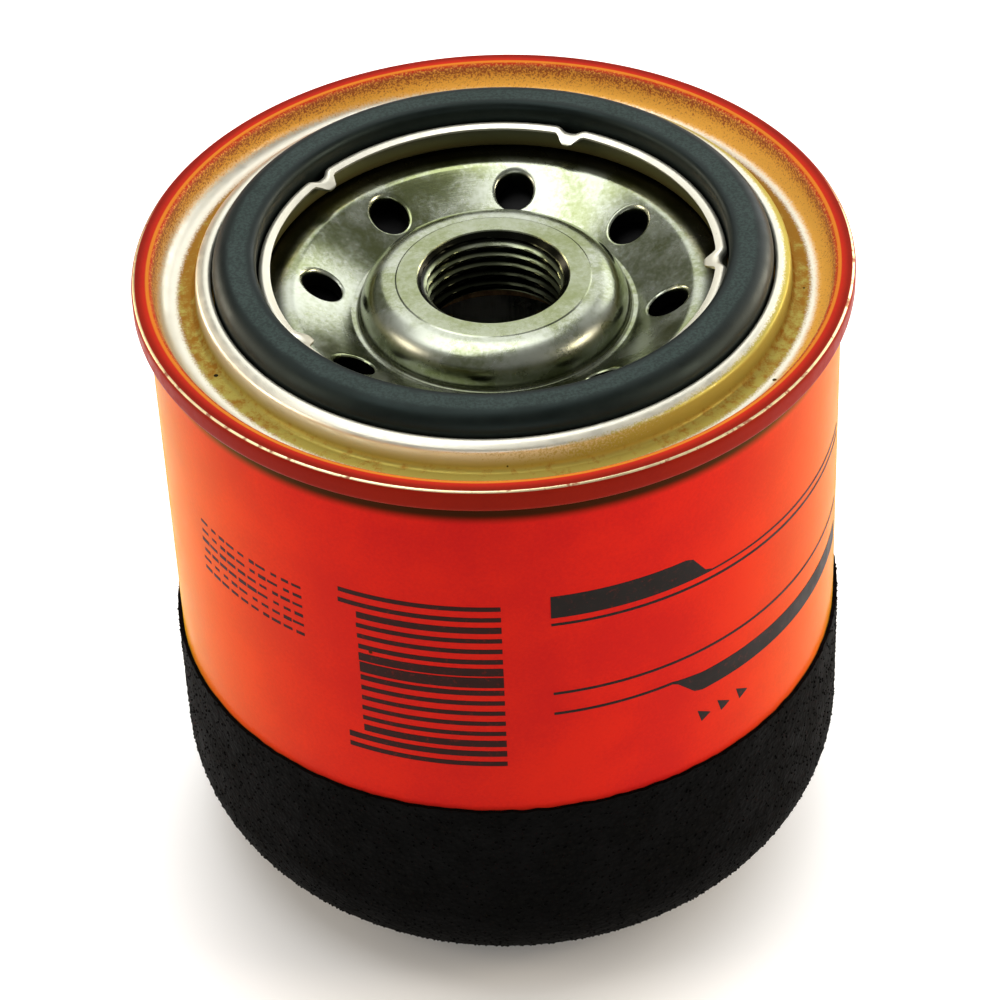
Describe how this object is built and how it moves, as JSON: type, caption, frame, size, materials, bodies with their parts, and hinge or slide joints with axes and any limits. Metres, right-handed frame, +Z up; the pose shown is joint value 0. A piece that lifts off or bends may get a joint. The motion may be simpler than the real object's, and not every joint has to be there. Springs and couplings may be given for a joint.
{
  "type": "spin-on oil filter",
  "caption": "Spin-on engine oil filter: painted steel can with a grip-coated dome end, rolled seam, rubber gasket and a stamped base plate with inlet holes and a threaded hub.",
  "frame": {"origin": "on the filter's axis, at the bottom of the dome end that it stands on", "axes": "+Z up along the filter's axis, from the dome end to the thread and gasket; -Y towards the camera of the picture, +X to its right"},
  "size_m": [0.0934, 0.0932, 0.0937],
  "materials": {
    "can_paint": "glossy orange paint",
    "grip_black": "granular matte black coat",
    "lid_zinc": "zinc plated",
    "plate_steel": "zinc plated stamping",
    "gasket_rubber": "moulded rubber",
    "valve_rubber": "moulded rubber",
    "cap_fibre": "pressed fibre board",
    "media_paper": "resin treated pleated paper",
    "clip_steel": "strip steel",
    "tube_steel": "perforated sheet",
    "bypass_steel": "stamped sheet",
    "spring_steel": "drawn wire"
  },
  "bodies": {
    "housing": {"canister": "can_paint", "grip_coating": "grip_black", "seaming_lid": "lid_zinc", "base_plate": "plate_steel", "sealing_gasket": "gasket_rubber", "element_spring": "spring_steel"},
    "drain_flap": {"anti_drain_valve": "valve_rubber"},
    "element": {"upper_end_cap": "cap_fibre", "lower_end_cap": "cap_fibre", "pleated_media": "media_paper", "media_clip": "clip_steel", "center_tube": "tube_steel", "bypass_cage": "bypass_steel", "bypass_seat": "bypass_steel", "bypass_spring": "spring_steel"},
    "bypass_valve": {"bypass_poppet": "bypass_steel", "bypass_seal": "valve_rubber"}
  },
  "joints": [
    {"name": "drain_flap_open", "type": "slide", "parent": "housing", "child": "drain_flap", "axis": [0, 0, -1], "range_m": [0, 0.0025], "stiffness_N_per_m": 60, "springref_m": -0.005, "deforming": ["anti_drain_valve"]},
    {"name": "element_float", "type": "slide", "parent": "housing", "child": "element", "axis": [0, 0, -1], "range_m": [0, 0.002], "stiffness_N_per_m": 6000, "springref_m": -0.008, "deforming": ["element_spring"]},
    {"name": "bypass_lift", "type": "slide", "parent": "element", "child": "bypass_valve", "axis": [0, 0, 1], "range_m": [0, 0.003], "stiffness_N_per_m": 2500, "springref_m": -0.005, "deforming": ["bypass_spring"]}
  ]
}
